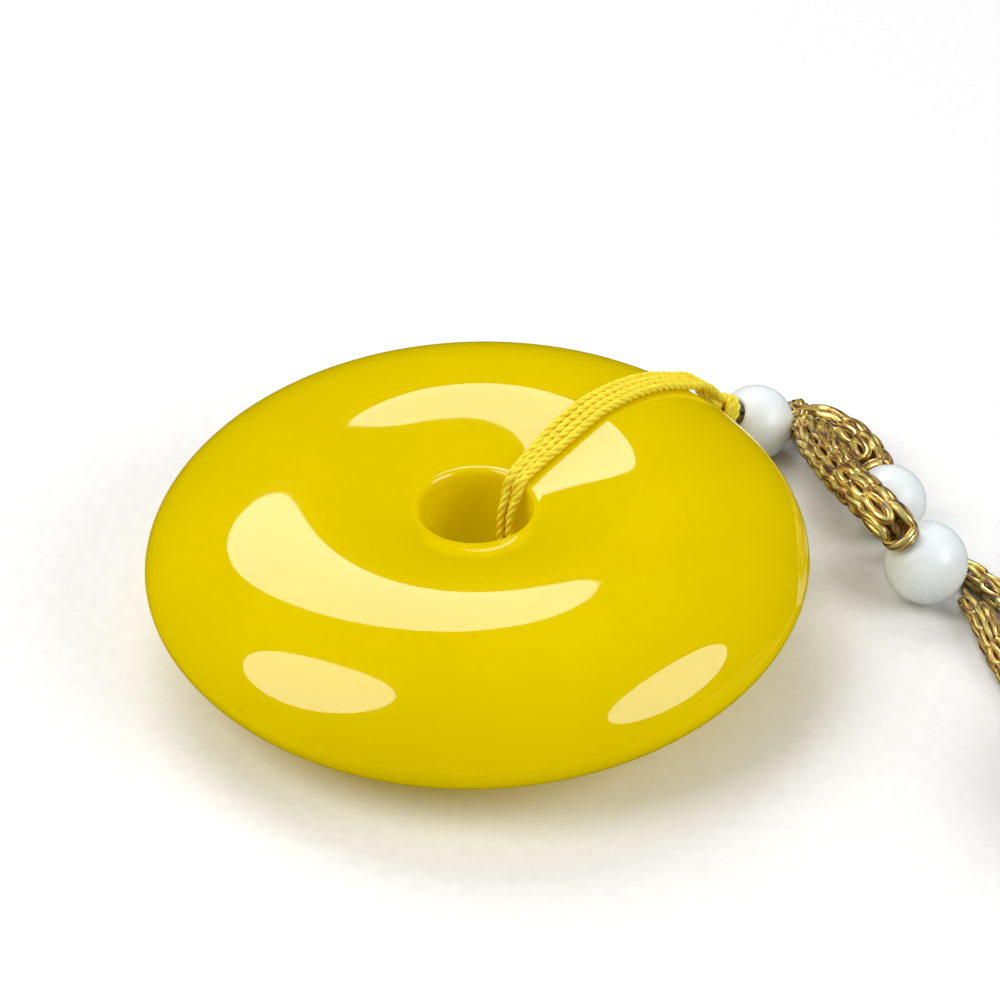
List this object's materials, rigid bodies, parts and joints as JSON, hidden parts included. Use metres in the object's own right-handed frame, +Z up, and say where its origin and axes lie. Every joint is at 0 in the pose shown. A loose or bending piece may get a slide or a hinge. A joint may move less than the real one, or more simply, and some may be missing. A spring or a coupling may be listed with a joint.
{
  "type": "donut pendant on a beaded cord",
  "caption": "Polished thick donut pendant with a small bore, hung by a twisted thread loop from a gold braided neck cord with white stone beads.",
  "frame": {"origin": "on the table under the middle of the ring, which lies nearly flat on one face", "axes": "+Z up, within 2.5 degrees of the ring's own axis; +X to the right, towards the beads; the loop leaves the ring 44.5 degrees round from +X towards +Y"},
  "size_m": [0.0974, 0.0637, 0.0154],
  "materials": {
    "yellow_stone": "opaque egg-yolk yellow, polished to a mirror gloss",
    "yellow_thread": "twisted yellow thread with a slight sheen",
    "white_stone": "milky white, smooth with a soft satin gloss",
    "gold_braid": "round braid of brown thread and bright gold metallic yarn",
    "core_thread": "plain brown thread"
  },
  "bodies": {
    "ring": {"donut_ring": "yellow_stone"},
    "cord": {"loop_strand_1": "yellow_thread", "loop_strand_2": "yellow_thread", "loop_strand_3": "yellow_thread", "loop_strand_4": "yellow_thread", "loop_knot": "yellow_thread", "gold_sleeve_a": "gold_braid", "gold_sleeve_b": "gold_braid", "core_cord_a": "core_thread", "core_cord_b": "core_thread", "neck_cord_to_coil": "gold_braid", "neck_cord_from_coil": "gold_braid", "neck_cord_coil": "gold_braid", "coil_tie": "yellow_thread"},
    "bead_1": {"bead_1": "white_stone"},
    "bead_2": {"bead_2": "white_stone"},
    "bead_3": {"bead_3": "white_stone"}
  },
  "joints": [
    {"name": "loop_round_ring", "type": "hinge", "parent": "ring", "child": "cord", "pos_m": [0, 0, 0.00705], "axis": [-0.0311, -0.0306, 0.999], "continuous": true},
    {"name": "bead_1_spin", "type": "hinge", "parent": "cord", "child": "bead_1", "pos_m": [0.0229, 0.0234, 0.0031], "axis": [0.7403, 0.4002, -0.5402], "continuous": true},
    {"name": "bead_2_spin", "type": "hinge", "parent": "cord", "child": "bead_2", "pos_m": [0.0328, 0.0126, 0.00295], "axis": [0.14, -0.9901, 0], "continuous": true},
    {"name": "bead_3_spin", "type": "hinge", "parent": "cord", "child": "bead_3", "pos_m": [0.03465, 0.00368, 0.0036], "axis": [0.6005, 0.1201, -0.7906], "continuous": true}
  ]
}
